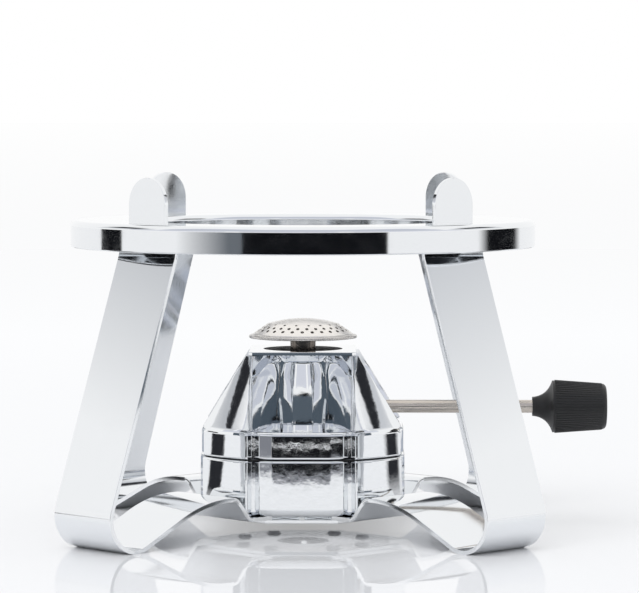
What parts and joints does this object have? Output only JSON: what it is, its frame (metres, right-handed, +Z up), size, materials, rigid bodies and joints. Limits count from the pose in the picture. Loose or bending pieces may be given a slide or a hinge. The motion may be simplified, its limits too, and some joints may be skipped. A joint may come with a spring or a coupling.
{
  "type": "table-top gas burner with pot stand",
  "caption": "Small chrome gas burner with perforated mushroom cap and side control knob, cradled in a four-legged strip-metal pot stand with a support ring.",
  "frame": {"origin": "on the floor below the centre of the support ring", "axes": "+Z up along the ring's axis, +X along the control rod towards the knob, -Y towards the front"},
  "size_m": [0.1855, 0.1614, 0.122],
  "materials": {
    "chrome_plate": "bright plated",
    "brushed_steel": "fine brushed",
    "dark_nickel": "dark nickel plated",
    "brass": "turned",
    "tank_alloy": "drawn",
    "spring_steel": "zinc plated",
    "black_plastic": "moulded satin",
    "black_rubber": "matt"
  },
  "bodies": {
    "stand": {"support_ring": "chrome_plate", "leg_front_left": "chrome_plate", "leg_front_right": "chrome_plate", "leg_rear_left": "chrome_plate", "leg_rear_right": "chrome_plate", "base_plate": "chrome_plate", "base_rivets": "chrome_plate"},
    "burner": {"lower_shell": "chrome_plate", "upper_shell": "chrome_plate", "burner_cap": "brushed_steel", "cap_pan": "brushed_steel", "flame_gauze": "brushed_steel", "top_plate": "dark_nickel", "mixing_tube": "dark_nickel", "valve_body": "brass", "jet_nozzle": "brass", "gland_nut": "brass", "refill_valve_body": "brass", "tank_cup": "tank_alloy", "tank_lid": "tank_alloy", "shell_screws": "spring_steel", "refill_spring": "spring_steel", "seam_gasket": "black_rubber", "gland_packing": "black_rubber"},
    "control": {"control_rod": "brushed_steel", "control_knob": "black_plastic", "knob_set_screw": "spring_steel", "valve_needle": "spring_steel"},
    "refill_plunger": {"refill_plunger": "brass", "refill_seal": "black_rubber"}
  },
  "joints": [
    {"name": "burner_lift", "type": "slide", "parent": "stand", "child": "burner", "axis": [0, 0, 1], "range_m": [0, 0.02]},
    {"name": "knob_turn", "type": "hinge", "parent": "burner", "child": "control", "pos_m": [0.05, 0, 0.042], "axis": [1, 0, 0], "range_deg": [0, 270]},
    {"name": "refill_press", "type": "slide", "parent": "burner", "child": "refill_plunger", "axis": [0, 0, 1], "range_m": [0, 0.0015], "stiffness_N_per_m": 800, "springref_m": -0.003, "deforming": ["refill_spring"]}
  ]
}
